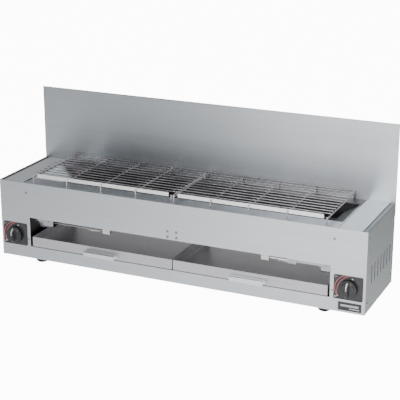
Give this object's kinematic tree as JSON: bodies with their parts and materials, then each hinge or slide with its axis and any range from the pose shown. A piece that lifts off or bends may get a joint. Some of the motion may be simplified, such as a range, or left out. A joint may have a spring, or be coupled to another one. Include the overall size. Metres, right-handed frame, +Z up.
{
  "type": "charbroiler grill",
  "caption": "Long countertop gas charbroiler with wire grates, tall back guard, sliding drip pans behind a wide window, and a push-and-turn gas knob at each end.",
  "frame": {"origin": "middle of the grill's whole footprint, on the counter that the feet stand on", "axes": "+X along the grill to the cook's right, +Y away from the cook to the back guard, +Z up"},
  "size_m": [1.2, 0.332, 0.505],
  "materials": {
    "brushed_steel": "brushed",
    "pan_steel": "satin",
    "heat_stained_steel": "heat stained",
    "steel_wire": "bright drawn",
    "steel_pipe": "satin",
    "zinc_steel": "zinc plated",
    "burner_iron": "matt cast",
    "brass": "machined",
    "aluminium_tube": "satin",
    "ceramic": "glazed ceramic",
    "black_plastic": "fine texture",
    "black_rubber": "matt"
  },
  "bodies": {
    "casing": {"front_panel": "brushed_steel", "rear_panel": "brushed_steel", "bottom_panel": "brushed_steel", "back_guard": "brushed_steel", "pan_shelf": "heat_stained_steel", "front_baffle": "heat_stained_steel", "right_baffle": "heat_stained_steel", "rear_baffle": "heat_stained_steel", "left_baffle": "heat_stained_steel", "centre_beam": "heat_stained_steel", "gas_manifold": "steel_pipe", "gas_inlet": "brass", "label_plate": "black_plastic", "front_left_foot": "black_rubber", "front_right_foot": "black_rubber", "rear_left_foot": "black_rubber", "rear_right_foot": "black_rubber", "left_side_panel": "brushed_steel", "left_deck": "brushed_steel", "left_partition": "heat_stained_steel", "left_burner": "burner_iron", "left_burner_bracket": "brushed_steel", "left_mixing_tube": "burner_iron", "left_injector": "brass", "left_valve_body": "brass", "left_dial_plate": "black_plastic", "left_riser_pipe": "aluminium_tube", "left_pilot_burner": "zinc_steel", "left_pilot_pipe": "aluminium_tube", "left_electrode": "ceramic", "right_side_panel": "brushed_steel", "right_deck": "brushed_steel", "right_partition": "heat_stained_steel", "right_burner": "burner_iron", "right_burner_bracket": "brushed_steel", "right_mixing_tube": "burner_iron", "right_injector": "brass", "right_valve_body": "brass", "right_dial_plate": "black_plastic", "right_riser_pipe": "aluminium_tube", "right_pilot_burner": "zinc_steel", "right_pilot_pipe": "aluminium_tube", "right_electrode": "ceramic"},
    "left_push": {"left_valve_plunger": "brass"},
    "left_control": {"left_knob": "black_plastic", "left_valve_spindle": "steel_pipe"},
    "left_pan": {"left_drip_pan": "pan_steel", "left_pan_handle": "brushed_steel"},
    "left_grill": {"left_grate": "steel_wire"},
    "left_heat_plate": {"left_radiant": "heat_stained_steel"},
    "left_shutter": {"left_air_shutter": "zinc_steel"},
    "right_push": {"right_valve_plunger": "brass"},
    "right_control": {"right_knob": "black_plastic", "right_valve_spindle": "steel_pipe"},
    "right_pan": {"right_drip_pan": "pan_steel", "right_pan_handle": "brushed_steel"},
    "right_grill": {"right_grate": "steel_wire"},
    "right_heat_plate": {"right_radiant": "heat_stained_steel"},
    "right_shutter": {"right_air_shutter": "zinc_steel"}
  },
  "joints": [
    {"name": "left_knob_push", "type": "slide", "parent": "casing", "child": "left_push", "axis": [0, 1, 0], "range_m": [0, 0.004], "stiffness_N_per_m": 900},
    {"name": "left_knob_turn", "type": "hinge", "parent": "left_push", "child": "left_control", "pos_m": [-0.55, -0.147, 0.089], "axis": [0, -1, 0], "range_deg": [0, 150]},
    {"name": "left_pan_slide", "type": "slide", "parent": "casing", "child": "left_pan", "axis": [0, -1, 0], "range_m": [0, 0.27]},
    {"name": "left_grate_lift", "type": "slide", "parent": "casing", "child": "left_grill", "axis": [0, 0, 1], "range_m": [0, 0.1]},
    {"name": "left_radiant_lift", "type": "slide", "parent": "casing", "child": "left_heat_plate", "axis": [0, 0, 1], "range_m": [0, 0.05]},
    {"name": "left_shutter_turn", "type": "hinge", "parent": "casing", "child": "left_shutter", "pos_m": [-0.532, 0.006, 0.17], "axis": [-1, 0, 0], "range_deg": [0, 60]},
    {"name": "right_knob_push", "type": "slide", "parent": "casing", "child": "right_push", "axis": [0, 1, 0], "range_m": [0, 0.004], "stiffness_N_per_m": 900},
    {"name": "right_knob_turn", "type": "hinge", "parent": "right_push", "child": "right_control", "pos_m": [0.55, -0.147, 0.089], "axis": [0, -1, 0], "range_deg": [0, 150]},
    {"name": "right_pan_slide", "type": "slide", "parent": "casing", "child": "right_pan", "axis": [0, -1, 0], "range_m": [0, 0.27]},
    {"name": "right_grate_lift", "type": "slide", "parent": "casing", "child": "right_grill", "axis": [0, 0, 1], "range_m": [0, 0.1]},
    {"name": "right_radiant_lift", "type": "slide", "parent": "casing", "child": "right_heat_plate", "axis": [0, 0, 1], "range_m": [0, 0.05]},
    {"name": "right_shutter_turn", "type": "hinge", "parent": "casing", "child": "right_shutter", "pos_m": [0.532, 0.006, 0.17], "axis": [1, 0, 0], "range_deg": [0, 60]}
  ]
}
